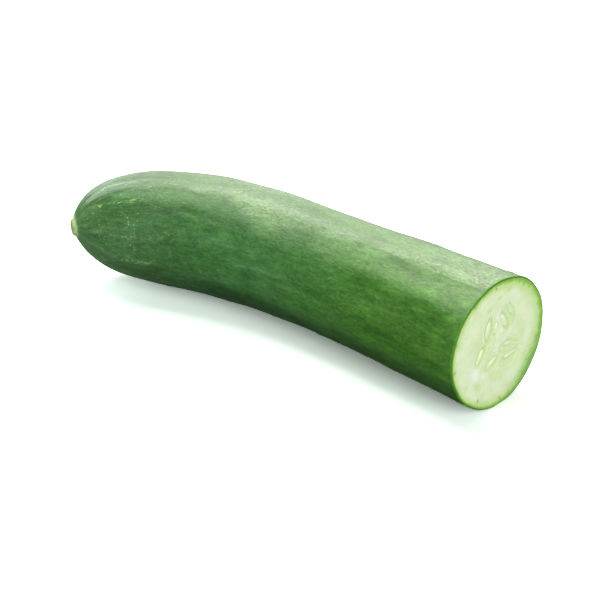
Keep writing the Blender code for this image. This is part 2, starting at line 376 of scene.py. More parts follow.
skinLook = {
    "around": 400, "rings": 236, "rimRings": 4,  # grid of the skin
    "wrinkleDepth": 0.00003,
    "grooves": 36, "grooveSway": 1.5, "grooveDepth": (0.00002, 0.72, 0.97),
    "bumpHeight": 0.00022, "bumpReach": 0.001, "bumpStretch": 0.8,
    "bumpStep": 0.027, "bumpJitter": 0.35, "bumpSpread": 0.25, "bumpSeed": 7, "bumpLowest": -55,
    "bumpFrom": 0.01, "bumpTo": 0.172,
    "bumpsFromCut": (0.0004, 0.003), "wrinklesEnd": (0.998, 0.985),
    # net of random heights: cells around, cells along, seed
    "nets": {"wrinkles": (30, 16, 11), "fineWrinkles": (52, 32, 12), "grooves": (9, 12, 14),
             "wander": (8, 14, 15), "rows": (5, 9, 16)},
    # soft ridges and dips of the upper side: angle, share, reach in degrees, reach in share, height
    "folds": (
        (141, 0.06, 9, 0.06, 0.00022), (134, 0.19, 8, 0.06, 0.00018), (115, 0.1, 7, 0.09, -0.00036),
        (97, 0.2, 8, 0.22, 0.00012), (134, 0.7, 9, 0.06, -0.0002), (118, 0.55, 8, 0.05, -0.00014),
        (128, 0.4, 9, 0.06, -0.00018), (70, 0.35, 9, 0.09, -0.00018), (60, 0.7, 8, 0.07, 0.00015),
        (40, 0.18, 9, 0.1, -0.00018), (165, 0.48, 9, 0.08, -0.00015), (172, 0.2, 8, 0.09, 0.00014),
        (15, 0.6, 9, 0.1, -0.00016),
    ),
    # short creases with painted shade in them: angle, share, reach in degrees, reach in share
    "creaseDepth": 0.00018, "creaseLean": 0.5,
    "creases": (
        (114, 0.2, 3.2, 0.02), (119, 0.14, 3.4, 0.022), (116, 0.105, 2.2, 0.01),
        (93, 0.339, 2.0, 0.01), (94, 0.268, 2.0, 0.01), (112, 0.3, 2.4, 0.012),
        (134, 0.702, 3.5, 0.024), (137, 0.64, 2.4, 0.014), (60, 0.42, 2.4, 0.014),
        (35, 0.62, 2.6, 0.016), (122, 0.23, 2.0, 0.012), (172, 0.33, 2.4, 0.014),
    ),
    # pale lines from the blossom end: angle, strength
    "rows": ((125, 1.0), (162, 0.6), (189, 0.9), (96, 0.5), (60, 0.7), (24, 0.6), (-14, 0.8), (222, 0.5)),
    "rowReach": 0.045, "rowReachSwing": 0.02, "rowSway": 0.07,
    "rowsBegin": (0.7, 0.88), "rowsThin": (0.7, 0.955, 0.985),
    # where the colours lie
    "wander": 0.22,  # sway of their edges, in radians
    # the crown and the upper spans: paler green round the top, painted light from above
    "crown": 84, "crownAtCut": (17, 0.4, 0.12), "crownSwell": (9, 0.5, 0.1),
    "upperReach": (0.95, 0.42), "upperEnds": (0.92, 0.66),
    "upperDrops": ((0.2, 0.02, 0.22), (0.1, 0.45, 0.6)),
    "bluishBegins": (0.15, 0.55),
    "cutEdge": (0.0006, 0.0001), "cutEdgeSway": 0.0003,
    "calm": 0.7, "calmDrop": (0.45, 0.4, 0.9),
    "blossomEndBegins": (0.6, 0.95),
    "point": (0.8, 0.006, 0.003), "pointSway": 0.0012, "pointBegins": (0.9, 0.97),
    # painted shade on the underside, painted light at the blossom end and on the ridge at ridgeAt
    "underDark": (0.42, 0.1, 0.45), "underDarkEnds": (0.85, 0.6),
    "tipLight": (0.22, 0.78, 0.97),
    "ridgeAt": 125, "ridgeReach": 0.15, "ridgeLight": (0.35, 0.66, 0.8), "ridgeEnds": (0.96, 0.88),
    # pale wax with a painted highlight on the upper side, ending raggedly at its lower edge
    "waxAndSheenSide": (50, 75), "waxAndSheenOtherSide": (140, 130), "waxAndSheenEnds": (0.8, 0.58),
    "waxAndSheenLeast": 0.45, "waxAndSheenMore": ((0.55, 0.44, 0.58), (0.8, 0.26, 0.05)),
    "waxAndSheenEdge": 108, "waxAndSheenEdgeSwell": (12, 0.53, 0.13),
    # a paler stripe near the cut: partly a stripe of the skin, partly painted light
    "bandAt": 133, "bandTurn": 50, "bandSway": 0.2, "bandReach": 0.12,
    "bandBegins": (0.02, 0.08), "bandEnds": (0.34, 0.18),
    # noise on the straight body: how far it is drawn out, scale, detail, roughness, distortion
    "patterns": {
        "clouds": (0.45, 95, 5.0, 0.62),
        "streaks": (0.12, 260, 3.0, 0.6),
        "mottle": (0.34, 560, 3.0, 0.7),
        "sheenEdgeNoise": (0.25, 170, 4.0, 0.65),
        "scarDryAndSkinSheen": (0.45, 1500, 2.0, 0.7),
        "dashes": (0.24, 2000, 2.0, 0.6),
        "gaps": (1.0, 190, 1.0, 0.55),
        "lines": (0.12, 1000, 2.0, 0.5),
        "dotPatches": (1.0, 90, 2.0, 0.55),
        "wrinkles": (0.35, 240, 2.0, 0.5, 0.3),
    },
    # how a pattern becomes a mask: from, to, and what it gives at those two if not 0 and 1
    "spans": {
        "midGreen": (0.29, 0.71), "upper": (0.3, 0.62, 0.25, 0.85),
        "paleStreaks": (0.5, 0.72), "darkStreaks": (0.28, 0.5, 0.72, 1.0),
        "mottle": (0.34, 0.66, 0.82, 1.14),
        "sheenEdge": (0.07, -0.07), "scarDryAndSkinSheen": (0.42, 0.62, 0.06, 0.36),
        "dashes": (0.46, 0.62), "gaps": (0.4, 0.6, 0.2, 0.8), "lines": (0.55, 0.7),
        "dots": (0.24, 0.12), "dotPatches": (0.48, 0.6),
    },
    "paleStreaks": 0.35, "paleBand": 0.58, "lines": 0.16, "paintedCreaseShade": 0.55, "sheenEdgeSway": 0.6,
    "dotScale": 620, "dotsAtTip": 0.7, "dotsElsewhere": 0.06,
    "deepGreen": (0.031, 0.114, 0.011), "midGreen": (0.05, 0.154, 0.019),
    "paleGreen": (0.12, 0.27, 0.06), "fleckYellow": (0.32, 0.51, 0.18),
    # the upper green is painted light from above; the cream is pale wax with a painted highlight
    "paintedTopLightGreen": (0.126, 0.262, 0.07), "sheenCream": (0.427, 0.518, 0.322),
    "bluishTint": (1.08, 1.05, 2.35), "tipTint": (1.06, 0.83, 1.1),
    "pointGreen": (0.35, 0.5, 0.23), "rimGreen": (0.07, 0.22, 0.02),
    "roughness": 0.38, "roughnessLow": 0.28, "roughnessSwing": 0.2, "specular": 0.29,
    "grainStretch": 0.5, "grainScale": 1250, "grainContrast": 1.3,
    "relief": 0.55, "grainRelief": 0.65, "wrinkleRelief": 0.9,
}


def skinProfile(steps=4000):
    # radius and height of the straight body, at even steps of its own length: a quarter round
    # at the cut, the side, and the closing end as far as the foot of the scar
    b, s = bodyShape, skinLook
    share = np.linspace(b["rimEase"] / b["length"], 1, steps)
    radius = bodyRadius(share)
    height = share * b["length"] + b["pointHeight"] * bell(radius, 0, b["pointReach"])
    outside = radius > b["scarFoot"] * b["scarRadius"]
    radius, height = radius[outside], height[outside]
    run = np.concatenate([[0], np.cumsum(np.hypot(np.diff(radius), np.diff(height)))])
    stops = np.linspace(0, run[-1], s["rings"])
    turn = np.linspace(0, pi / 2, s["rimRings"], endpoint=False)
    rimRadius = radius[0] - b["rimEase"] * (1 - np.sin(turn))
    rimHeight = b["rimEase"] * (1 - np.cos(turn))
    return (
        np.concatenate([rimRadius, np.interp(stops, run, radius)]),
        np.concatenate([rimHeight, np.interp(stops, run, height)]),
    )


def ribAngle(row, along):
    # the crest of a rib winds slowly round from the cut to the blossom end
    b = bodyShape
    return radians(b["ribAt"] + 360 / b["ribs"] * row + b["ribTurn"] * along / b["length"])


def bumpPlaces():
    # rows of low bumps along the ribs, every second row half a step further on
    b, s = bodyShape, skinLook
    random = np.random.default_rng(s["bumpSeed"])
    places = []
    for row in range(b["ribs"]):
        along = s["bumpFrom"] + (row % 2) * s["bumpStep"] / 2
        while along < s["bumpTo"]:
            place = along + random.uniform(-1, 1) * s["bumpJitter"] * s["bumpStep"] / 2
            size = 1 + random.uniform(-1, 1) * s["bumpSpread"]
            along += s["bumpStep"]
            angle = ribAngle(row, place)
            if sin(angle) >= sin(radians(s["bumpLowest"])):
                places.append((angle, place, size))
    return places


def creaseDarkness(angle, share):
    # 1 in the middle of a crease, on an oval that leans a little round the body; it dents the skin and
    # darkens its colour as painted shade
    dark = np.zeros_like(angle)
    for place, middle, reach, reachAlong in skinLook["creases"]:
        along = (share - middle) / reachAlong
        aside = angleBetween(angle, radians(place)) / radians(reach)
        aside = aside + skinLook["creaseLean"] * along
        dark = np.maximum(dark, np.exp(-(aside ** 2) - along ** 2))
    return dark


def skinRelief(angle, height, share):
    # wrinkles drawn out lengthwise, grooves towards the blossom end, folds, creases and low bumps
    s, nets = skinLook, skinLook["nets"]
    turns = np.mod(angle / tau, 1)
    relief = s["wrinkleDepth"] * 2 * softNoise(turns, share, *nets["wrinkles"])
    relief = relief + s["wrinkleDepth"] * softNoise(turns, share, *nets["fineWrinkles"])
    grooves = np.cos(s["grooves"] * angle + s["grooveSway"] * softNoise(turns, share, *nets["grooves"]))
    relief = relief + grooves * rising(share, *s["grooveDepth"])
    bumps = np.zeros_like(relief)
    for bumpAngle, place, size in bumpPlaces():
        aside = angleBetween(angle, bumpAngle) * bodyShape["radius"]
        near = np.hypot(aside, (height - place) * s["bumpStretch"]) / (s["bumpReach"] * size)
        bumps = np.maximum(bumps, np.exp(-(near ** 2)) * s["bumpHeight"] * size)
    for place, middle, reach, reachAlong, rise in s["folds"]:
        aside = angleBetween(angle, radians(place)) / radians(reach)
        bumps = bumps + rise * np.exp(-(aside ** 2) - ((share - middle) / reachAlong) ** 2)
    bumps = bumps - s["creaseDepth"] * creaseDarkness(angle, share)
    fromCut = ease(*s["bumpsFromCut"], height)
    return (relief * ease(*s["wrinklesEnd"], share) + bumps) * fromCut * (1 - plainUnder(angle))


def paleRows(angle, share):
    # soft lines that run along the body and fade away from the blossom end, each with its strength
    s = skinLook
    rows = np.zeros_like(angle)
    swing = softNoise(np.mod(angle / tau, 1), share, *s["nets"]["rows"])
    for place, strength in s["rows"]:
        aside = angleBetween(angle + s["rowSway"] * swing, radians(place))
        rows = np.maximum(rows, strength * bell(aside, 0, s["rowReach"] + s["rowReachSwing"] * swing))
    return rows * ease(*s["rowsBegin"], share) * (1 - rising(share, *s["rowsThin"]))


def waxAndSheenMask(angle, share):
    # pale wax with a painted highlight on the upper side: between two angles, more in the middle and at the
    # cut
    s = skinLook
    degrees = np.mod(np.degrees(angle), 360)
    strength = s["waxAndSheenLeast"] + sum(rising(share, *more) for more in s["waxAndSheenMore"])
    sides = ease(*s["waxAndSheenSide"], degrees) * ease(*s["waxAndSheenOtherSide"], degrees)
    return strength * sides * ease(*s["waxAndSheenEnds"], share)


def shadeMask(angle, share):
    # factor on the colour: painted shade below, painted light at the blossom end and on the ridge that runs
    # into it
    s = skinLook
    under = rising(-np.sin(angle), *s["underDark"]) * ease(*s["underDarkEnds"], share)
    ridge = rising(share, *s["ridgeLight"]) * ease(*s["ridgeEnds"], share)
    ridge = ridge * bell(angleBetween(angle, radians(s["ridgeAt"])), 0, s["ridgeReach"])
    return (1 - under) * (1 + rising(share, *s["tipLight"])) * (1 + ridge)


def skinMasks(angle, radius, height, share):
    # where the material lays each colour, from even curves round and along the body
    s = skinLook
    wander = s["wander"] * softNoise(np.mod(angle / tau, 1), share, *s["nets"]["wander"])
    # the crown is the middle of the paler green, painted light from above
    crown = s["crown"] + rising(share, *s["crownAtCut"]) + swelling(share, *s["crownSwell"])
    fromCrown = np.abs(angleBetween(angle + wander, np.radians(crown)))
    upper = 1 - sum(rising(share, *drop) for drop in s["upperDrops"])
    point = rising(radius + s["pointSway"] * wander, *s["point"])
    waxAndSheenEdge = np.radians(s["waxAndSheenEdge"] + swelling(share, *s["waxAndSheenEdgeSwell"]))
    fromBand = angleBetween(angle + s["bandSway"] * wander, np.radians(s["bandAt"] - s["bandTurn"] * share))
    bandEnds = ease(*s["bandBegins"], share) * ease(*s["bandEnds"], share)
    return {
        "upper": upper * ease(*s["upperReach"], fromCrown) * ease(*s["upperEnds"], share),
        "bluish": ease(*s["bluishBegins"], share),
        "atCut": ease(*s["cutEdge"], height + s["cutEdgeSway"] * wander),
        "calm": s["calm"] - rising(share, *s["calmDrop"]),
        "blossomEnd": ease(*s["blossomEndBegins"], share),
        "pointed": point * ease(*s["pointBegins"], share),
        "row": paleRows(angle, share),
        "crease": creaseDarkness(angle, share),
        "shade": shadeMask(angle, share),
        "pastWaxAndSheen": angleBetween(angle, waxAndSheenEdge),
        "waxAndSheen": waxAndSheenMask(angle, share),
        "paleBand": bell(fromBand, 0, s["bandReach"]) * bandEnds,
    }


def makeSkin():
    # the straight profile turned round its axis, bent, and moved by its relief along its normals
    profileRadius, profileHeight = skinProfile()
    angle, radius = ringGrid(profileRadius, skinLook["around"], -tau)
    height = profileHeight[:, None] + 0 * angle
    share = np.clip(height / bodyShape["length"], 0, 1)
    rings = bent(radius * np.cos(angle), radius * np.sin(angle), height)
    rings = rings + ringNormals(rings) * skinRelief(angle, height, share)[..., None]
    around = bodyShape["radius"] * np.cos(angle), bodyShape["radius"] * np.sin(angle)
    straight = np.stack([*around, height], axis=-1)
    attributes = {"straight": straight, **skinMasks(angle, radius, height, share)}
    return ringMesh("skin", toPlace(rings), attributes)


def skinMaterial():
    s = skinLook
    material, tree, shader = newMaterial("waxyGreenSkin", s)
    straight = attribute(tree, "straight", "Vector")
    tip = attribute(tree, "blossomEnd")

    def mask(name):
        return attribute(tree, name)

    def pattern(name):
        stretch, *values = s["patterns"][name]
        return noise(tree, drawnOut(tree, straight, stretch), *values)

    def spanned(value, name):
        return ranged(tree, value, *s["spans"][name])

    def patternMask(name):
        return spanned(pattern(name), name)

    def swayed(value, swing, middle):
        # middle + swing * (value - a half), for a noise that lies round a half
        return mathNode(tree, "MULTIPLY_ADD", mathNode(tree, "SUBTRACT", value, 0.5), swing, middle)

    # cloudy greens with lengthwise streaks, bluer from the middle on
    clouds = pattern("clouds")
    streaks = swayed(pattern("streaks"), mask("calm"), 0.5)
    green = mixed(tree, spanned(clouds, "midGreen"), s["deepGreen"], s["midGreen"])
    green = laid(tree, green, s["paleGreen"], spanned(streaks, "paleStreaks"), s["paleStreaks"])
    # a paler stripe near the cut: partly a stripe of the skin, partly painted light
    green = laid(tree, green, s["paleGreen"], mask("paleBand"), s["paleBand"])
    green = tinted(tree, green, s["bluishTint"], mask("bluish"))
    green = tinted(tree, green, s["tipTint"], tip)
    # paler green round the top: painted light from above
    green = laid(tree, green, s["paintedTopLightGreen"], mask("upper"), spanned(clouds, "upper"))
    green = scaled(tree, green, spanned(streaks, "darkStreaks"))
    green = scaled(tree, green, patternMask("mottle"))
    # pale cream flecks of wax with a painted highlight on the upper side, with a ragged lower edge
    edge = swayed(pattern("sheenEdgeNoise"), s["sheenEdgeSway"], mask("pastWaxAndSheen"))
    waxAndSheen = times(tree, mask("waxAndSheen"), spanned(edge, "sheenEdge"))
    green = laid(tree, green, s["sheenCream"], waxAndSheen, patternMask("scarDryAndSkinSheen"))
    # dashes in rows, fine lines and loose dots towards the blossom end
    rows = mask("row"), patternMask("dashes"), patternMask("gaps")
    green = laid(tree, green, s["fleckYellow"], *rows)
    green = laid(tree, green, s["paleGreen"], patternMask("lines"), tip, s["lines"])
    dots = addNode(tree, "TexVoronoi", {"Vector": straight, "Scale": s["dotScale"]})
    dots = times(tree, spanned(dots.outputs["Distance"], "dots"), patternMask("dotPatches"))
    dotAmount = mathNode(tree, "MULTIPLY_ADD", tip, s["dotsAtTip"], s["dotsElsewhere"])
    green = laid(tree, green, s["fleckYellow"], dots, dotAmount)
    # painted shade in the creases and below, painted light at the blossom end, and the two ends
    green = laid(tree, green, s["deepGreen"], mask("crease"), s["paintedCreaseShade"])
    green = scaled(tree, green, mask("shade"))
    green = laid(tree, green, s["pointGreen"], mask("pointed"))
    green = laid(tree, green, s["rimGreen"], mask("atCut"))
    grain = grained(tree, shader, green, drawnOut(tree, straight, s["grainStretch"]), s)
    rough = mathNode(tree, "MULTIPLY_ADD", clouds, s["roughnessSwing"], s["roughnessLow"])
    tree.links.new(rough, shader.inputs["Roughness"])
    wrinkles = times(tree, pattern("wrinkles"), s["wrinkleRelief"])
    raised(tree, shader, mathNode(tree, "MULTIPLY_ADD", grain, s["grainRelief"], wrinkles), s["relief"])
    return material


# Seeds

seedLook = {
    "around": 40, "rings": 36,
    "halfThickness": 0.0007,
    "roundEnd": 0.52, "pointedEnd": 0.8,  # powers of the outline towards each end
    "stalkLength": 0.0028, "stalkStart": 0.95,  # the start is a share of the half length
    "colour": (0.76, 0.86, 0.54), "tipColour": (0.9, 0.93, 0.78), "tip": (0.55, 1.0),
    "cloudScale": 900, "cloudAmount": 0.5, "grainScale": 1400, "grainContrast": 0.15,
    "roughness": 0.36, "specular": 0.5,
    # place across, place up, direction, half length, half width, depth of the middle, strength of
    # the line round it, ripeness
    "seeds": (
        (0.0025, 0.0082, -63, 0.0037, 0.00135, 0.00052, 1.0, 1.0),
        (-0.0057, 0.0076, -100, 0.0036, 0.0014, 0.00052, 1.0, 0.3),
        (-0.0018, 0.007, -107, 0.0024, 0.00075, 0.00052, 0.7, 1.0),
        (-0.0099, -0.0012, -124, 0.0034, 0.0011, 0.00052, 1.0, 0.8),
        (-0.0038, -0.0063, -156, 0.0034, 0.00125, 0.00068, 0.7, 0.18),
        (0.0066, -0.0066, -177, 0.0035, 0.00095, 0.00054, 0.8, 0.75),
        (0.0064, 0.0108, -58, 0.003, 0.00115, 0.00076, 0.5, 0.25),
        (0.0056, -0.0022, -18, 0.0032, 0.0012, 0.00076, 0.5, 0.25),
    ),
}


def seedTurn(across, up, direction):
    # the way a seed's point looks: along its direction, and outwards
    turn = radians(direction)
    return turn + pi if across * cos(turn) + up * sin(turn) < 0 else turn


def makeSeed(number, seed):
    # a flat drop: round at one end and drawn to a point at the other, which looks outwards
    across, up, direction, length, width, sunk, _, ripeness = seed
    s = seedLook
    turn = seedTurn(across, up, direction)
    angle, t = ringGrid(np.cos(np.linspace(0, pi, s["rings"] + 2))[1:-1], s["around"], tau)
    outline = (1 + t) ** s["pointedEnd"] * (1 - t) ** s["roundEnd"]
    outline = outline / outline.max()
    forward = -t * length
    aside = outline * width * np.cos(angle)
    thick = outline * s["halfThickness"] * np.sin(angle)
    rings = toPlace(bent(
        across + forward * cos(turn) - aside * sin(turn),
        up + forward * sin(turn) + aside * cos(turn),
        sunk - thick,
    ))
    attributes = {"point": 0.5 - t / 2, "ripe": np.full(t.shape, ripeness)}
    poles = rings[0].mean(axis=0), rings[-1].mean(axis=0)
    return ringMesh(f"seed_{number}", rings, attributes, *poles)


def seedMaterial():
    s = seedLook
    material, tree, shader = newMaterial("paleSeed", s)
    place, gel = objectPlace(tree), cutLook["gel"]
    colour = mixed(tree, ranged(tree, attribute(tree, "point"), *s["tip"]), s["colour"], s["tipColour"])
    colour = laid(tree, colour, gel, noise(tree, place, s["cloudScale"]), s["cloudAmount"])
    colour = mixed(tree, attribute(tree, "ripe"), gel, colour)
    grained(tree, shader, colour, place, s)
    return material


# Cut

cutLook = {
    "around": 400, "rings": 196,
    "ringCrowding": 0.75,  # below 1, the rings stand closer at the rim
    "pocketDepth": 0.00032, "pocketReach": 1.7,  # round each seed, the reach in seeds
    "poolDepth": 0.00008, "partitionHeight": 0.00006,
    "nets": {"waver": (26, 12, 31), "sideways": (40, 24, 32), "patchy": (20, 14, 33)},
    "waver": 0.0007, "sideways": 0.0006, "patchy": 0.4,
    # soft pools of seed jelly: place across, place up, direction, half length, half width
    "pools": (
        (0.0045, 0.0098, -60, 0.0056, 0.0036), (-0.005, 0.0076, -98, 0.0052, 0.0026),
        (-0.0098, -0.0016, -124, 0.0052, 0.002), (-0.0036, -0.006, -150, 0.0054, 0.0026),
        (0.0056, -0.003, -14, 0.0058, 0.0026), (0.0045, -0.0078, -176, 0.0046, 0.0022),
        (-0.0022, -0.0026, -80, 0.0026, 0.0018),
    ),
    "poolRim": (1.15, 0.16), "poolEdge": (0.92, 0.09), "seedOutline": (1.12, 0.2),
    # yellow-green smudges in the flesh, and one pale patch, like the pools
    "smudges": (
        (-0.0119, -0.0121, -50, 0.0026, 0.0016), (0.0047, 0.02, 10, 0.0015, 0.0009),
        (-0.0006, 0.0182, 20, 0.0013, 0.0009), (-0.006, 0.015, 30, 0.002, 0.001),
        (0.014, -0.01, 60, 0.0022, 0.0012),
    ),
    "palePatch": (-0.0126, -0.0075, -70, 0.0042, 0.0022),
    # pale walls between the three chambers, from the middle to each place
    "middle": (0.0005, 0.0015), "wallWidth": 0.0015,
    "walls": ((-0.0004, 0.0125), (0.009, 0.0012), (-0.008, -0.0095)),
    # pale fibres between the chambers, from place to place
    "fibreWidth": 0.0003, "stalkWidth": 0.00022, "fibreWhite": 0.6, "stalkWhite": 0.8,
    "fibres": (
        ((-0.0038, 0.013), (-0.0008, 0.0035)), ((0.0006, 0.0125), (0.0012, 0.0042)),
        ((-0.0085, 0.0105), (-0.0078, 0.004)), ((0.002, 0.001), (0.007, 0.0018)),
        ((-0.0072, -0.003), (-0.009, -0.0082)), ((0.0008, -0.004), (-0.0008, -0.01)),
    ),
    # bundles of vessels under the rim: distance from the middle, angle
    "vesselSize": (0.00075, 0.00052), "vesselTurn": 20,
    "vessels": (
        (0.0223, 56), (0.0221, 20), (0.0225, 97), (0.0233, 125), (0.0238, 159),
        (0.023, -177), (0.0215, -121), (0.022, -86), (0.0221, -15), (0.0222, -50),
    ),
    "lobes": 0.06, "lobeAt": 20,  # of the chambers and the white ring round them
    "chamber": (0.0158, 0.01), "whiteRing": (0.0168, 0.0026),
    "rimWiden": 0.6, "rimWidenAt": -38, "rimWidenReach": 0.55, "rimWidenAcross": 0.45,
    "coolAt": -42, "coolReach": 0.5,
    "rayRadius": 0.012, "rayStretch": 0.25,
    # colour laid, strength, mask, pattern, and how the pattern becomes a mask
    "layers": (
        ("paleFlesh", 1.0, None, "cloud", 0.35, 0.65),
        ("paleFlesh", 0.35, None, "rays", 0.48, 0.66),
        ("paleFlesh", 0.65, "whiteRing", None),
        ("chamberGreen", 1.0, "chamber", "cloud", 0.3, 0.6, 0.5, 1.0),
        ("gel", 0.75, "jelly", "jellyClouds", 0.3, 0.62, 0.35, 1.0),
        ("paleFlesh", 0.45, "poolRim", None),
        ("white", 0.85, "partition", None),
        ("gelEdge", 0.32, "poolEdge", "edgeGaps", 0.42, 0.6),
        ("gelEdge", 0.55, "outline", None),
        ("white", 0.75, "white", None),
        ("white", 0.9, "pale", None),
        ("rimYellow", 0.66, "smudge", None),
        ("rimYellow", 0.8, None, "depth", 0.0048, 0.0014),
        ("rimGreen", 1.0, None, "depth", 0.002, 0.0004),
        ("rimCool", 0.7, "cool", "depth", 0.0034, 0.0008),
        ("vein", 0.9, "vein", None),
        ("rimDark", 1.0, None, "fromRim", 0.00042, 0.00012),
    ),
    # noise over the cut: scale, detail, roughness
    "patterns": {"cloud": (190, 4.0, 0.6), "jellyClouds": (480,), "edgeGaps": (260, 2.0)},
    "rays": (900, 3.0, 0.6), "rimWaver": (420, 3.0), "rimWaverDepth": 0.002,
    "flesh": (0.675, 0.83, 0.43), "paleFlesh": (0.79, 0.91, 0.63), "white": (0.93, 0.975, 0.86),
    "gel": (0.695, 0.852, 0.48), "gelEdge": (0.42, 0.66, 0.16), "chamberGreen": (0.69, 0.845, 0.46),
    "rimGreen": (0.25, 0.51, 0.048), "rimYellow": (0.54, 0.76, 0.26), "rimDark": (0.07, 0.21, 0.018),
    "rimCool": (0.19, 0.46, 0.11), "vein": (0.26, 0.46, 0.1),
    "roughness": 0.32, "specular": 0.45, "grainScale": 1100, "grainContrast": 0.16,
    "relief": 0.35, "cloudRelief": 0.8,
    "translucency": {"Weight": 0.25, "Radius": (1, 1, 0.5), "Scale": 0.002},
}


def ovalDistance(across, up, oval):
    # distance from an oval's middle, in half lengths one way and half widths the other
    middleAcross, middleUp, direction, length, width = oval
    turn = radians(direction)
    forward = (across - middleAcross) * cos(turn) + (up - middleUp) * sin(turn)
    aside = (up - middleUp) * cos(turn) - (across - middleAcross) * sin(turn)
    return np.hypot(forward / length, aside / width)


def pocketDistance(across, up):
    # distance from the nearest seed, with the seed's width nearer to its length
    wide = [(a, u, d, length, (width + length) / 2) for a, u, d, length, width, *_ in seedLook["seeds"]]
    return np.min([ovalDistance(across, up, oval) for oval in wide], axis=0)


def segmentDistance(across, up, start, end):
    # distance of each point from a straight line between two points
    run = np.subtract(end, start)
    t = np.clip(((across - start[0]) * run[0] + (up - start[1]) * run[1]) / (run @ run), 0, 1)
    return np.hypot(across - start[0] - t * run[0], up - start[1] - t * run[1])


def seedStalk(seed):
    # ends of the thin white thread from a seed's point outwards
    across, up, direction, length = seed[:4]
    turn = seedTurn(across, up, direction)
    along = np.array([cos(turn), sin(turn)])
    start = np.array([across, up]) + seedLook["stalkStart"] * length * along
    return start, start + seedLook["stalkLength"] * along


def cutMasks(across, up, angle, outward, edge):
    # where the material lays each colour, from distances to ovals, lines and the rim
    c, seeds = cutLook, seedLook["seeds"]
    turns = angle / tau
    waver = c["waver"] * softNoise(turns, outward, *c["nets"]["waver"])
    sideways = c["sideways"] * softNoise(turns, outward, *c["nets"]["sideways"])
    patchy = 1 - c["patchy"] + c["patchy"] * softNoise(turns, outward, *c["nets"]["patchy"])

    def strongest(masks):
        return np.max(list(masks), axis=0)

    def spot(oval, power=2):
        return np.exp(-ovalDistance(across, up, oval) ** power)

    def outlined(oval, place, reach):
        return bell(ovalDistance(across, up, oval), place, reach)

    def thread(line, width, sway=0):
        return bell(segmentDistance(across + sway * sideways, up - sway * sideways, *line), 0, width)

    def vessel(distance, place):
        turn = radians(place)
        return distance * cos(turn), distance * sin(turn), place + c["vesselTurn"], *c["vesselSize"]

    fromRim = (1 - outward) * edge
    lobed = edge * outward + waver
    lobed = lobed * (1 + c["lobes"] * np.cos(3 * (angle - radians(c["lobeAt"]))))
    widened = c["rimWiden"] * bell(angleBetween(angle, radians(c["rimWidenAt"])), 0, c["rimWidenReach"])
    stalks = strongest(thread(seedStalk(seed), c["stalkWidth"]) for seed in seeds)
    fibres = strongest(thread(fibre, c["fibreWidth"], 1) for fibre in c["fibres"])
    walls = strongest(thread((c["middle"], wall), c["wallWidth"], 2) for wall in c["walls"])
    ray = c["rayRadius"] * np.cos(angle), c["rayRadius"] * np.sin(angle), c["rayStretch"] * edge * outward
    return {
        "jelly": strongest(spot(pool, 4) for pool in c["pools"]),
        "partition": patchy * walls,
        "chamber": ease(*c["chamber"], lobed),
        "whiteRing": bell(lobed, *c["whiteRing"]),
        "outline": strongest(outlined(seed[:5], *c["seedOutline"]) * seed[6] for seed in seeds),
        "white": np.maximum(c["stalkWhite"] * stalks, c["fibreWhite"] * fibres),
        "poolRim": strongest(outlined(pool, *c["poolRim"]) for pool in c["pools"]),
        "poolEdge": strongest(outlined(pool, *c["poolEdge"]) for pool in c["pools"]),
        "ray": np.stack(ray, axis=-1),
        "fromRim": fromRim,
        "rimDepth": fromRim / (1 + widened + c["rimWidenAcross"] * np.cos(angle)),
        "smudge": strongest(spot(smudge) for smudge in c["smudges"]),
        "vein": strongest(spot(vessel(*place)) for place in c["vessels"]),
        "cool": bell(angleBetween(angle, radians(c["coolAt"])), 0, c["coolReach"]),
        "pale": spot(c["palePatch"]),
        "polar": np.stack([across, up, 0 * across], axis=-1),
    }


def makeCut():
    # rings from the skin's rim in to the middle, sunk by the pockets of the seeds and the pools
    c = cutLook
    edge = float(skinProfile()[0][0])
    shares = (1 - np.arange(c["rings"]) / c["rings"]) ** c["ringCrowding"]
    angle, outward = ringGrid(shares, c["around"], tau)
    across, up = edge * outward * np.cos(angle), edge * outward * np.sin(angle)
    masks = cutMasks(across, up, angle, outward, edge)
    depth = c["pocketDepth"] * bell(pocketDistance(across, up), 0, c["pocketReach"])
    depth = depth + c["poolDepth"] * masks["jelly"] - c["partitionHeight"] * masks["partition"]
    rings = toPlace(bent(across, up, depth))
    pole = toPlace(onAxis(0.0))[0]
    return ringMesh("cut", rings, masks, lastPole=pole)


def cutMaterial():
    c = cutLook
    material, tree, shader = newMaterial("moistFlesh", c)
    polar = attribute(tree, "polar", "Vector")
    waver = mathNode(tree, "SUBTRACT", noise(tree, polar, *c["rimWaver"]), 0.5)
    patterns = {name: noise(tree, polar, *values) for name, values in c["patterns"].items()}
    patterns["rays"] = noise(tree, attribute(tree, "ray", "Vector"), *c["rays"])
    rimDepth = attribute(tree, "rimDepth")
    patterns["depth"] = mathNode(tree, "MULTIPLY_ADD", waver, c["rimWaverDepth"], rimDepth)
    patterns["fromRim"] = attribute(tree, "fromRim")
    flesh = c["flesh"]
    for colour, strength, mask, pattern, *span in c["layers"]:
        factors = [strength]
        if mask:
            factors.append(attribute(tree, mask))
        if pattern:
            factors.append(ranged(tree, patterns[pattern], *span))
        flesh = laid(tree, flesh, c[colour], *factors)
    grain = grained(tree, shader, flesh, polar, c)
    height = mathNode(tree, "MULTIPLY_ADD", patterns["cloud"], c["cloudRelief"], grain)
    raised(tree, shader, height, c["relief"])
    for name, value in c["translucency"].items():
        shader.inputs["Subsurface " + name].default_value = value
    return material


# Blossom scar

